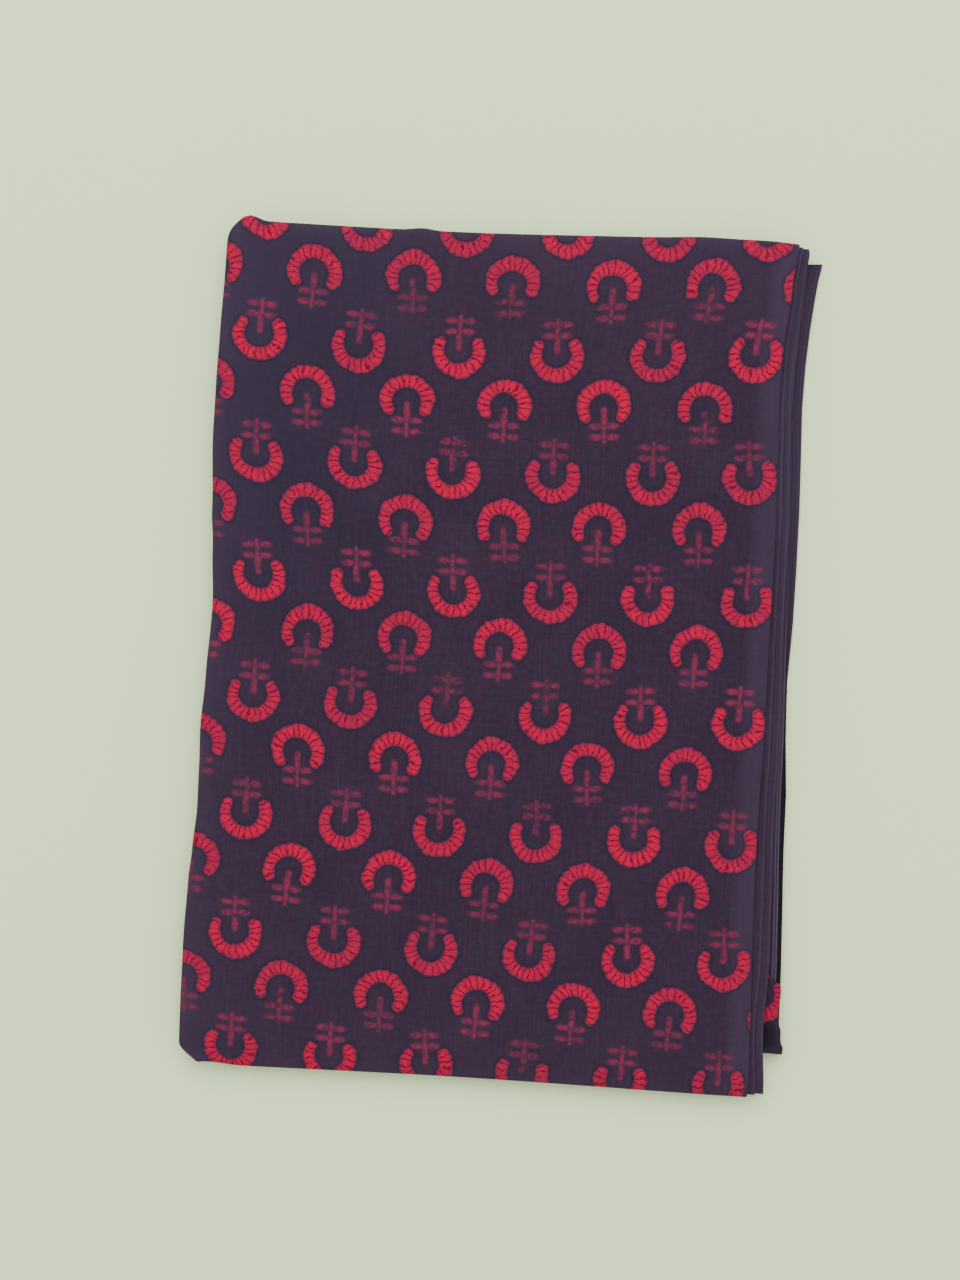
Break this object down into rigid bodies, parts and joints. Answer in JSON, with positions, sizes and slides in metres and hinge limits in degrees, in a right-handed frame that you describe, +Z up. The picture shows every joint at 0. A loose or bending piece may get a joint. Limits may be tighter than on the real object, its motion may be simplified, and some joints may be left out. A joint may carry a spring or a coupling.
{
  "type": "folded block-printed cotton fabric",
  "caption": "Length of thin cotton folded flat into a rectangular packet, aubergine ground with rows of block-printed red crescent and sprig motifs.",
  "frame": {"origin": "middle of the packet's footprint, on the surface it lies on", "axes": "+Z up; +Y along the packet's length, to the edge with the cloth's cut ends under it; +X to its loose edges"},
  "size_m": [0.305, 0.43, 0.0182],
  "materials": {
    "printed_cotton": "matt plain-weave cotton, block printed in red and dull crimson on aubergine"
  },
  "bodies": {
    "root": {"folded_cloth": "printed_cotton"}
  },
  "joints": []
}
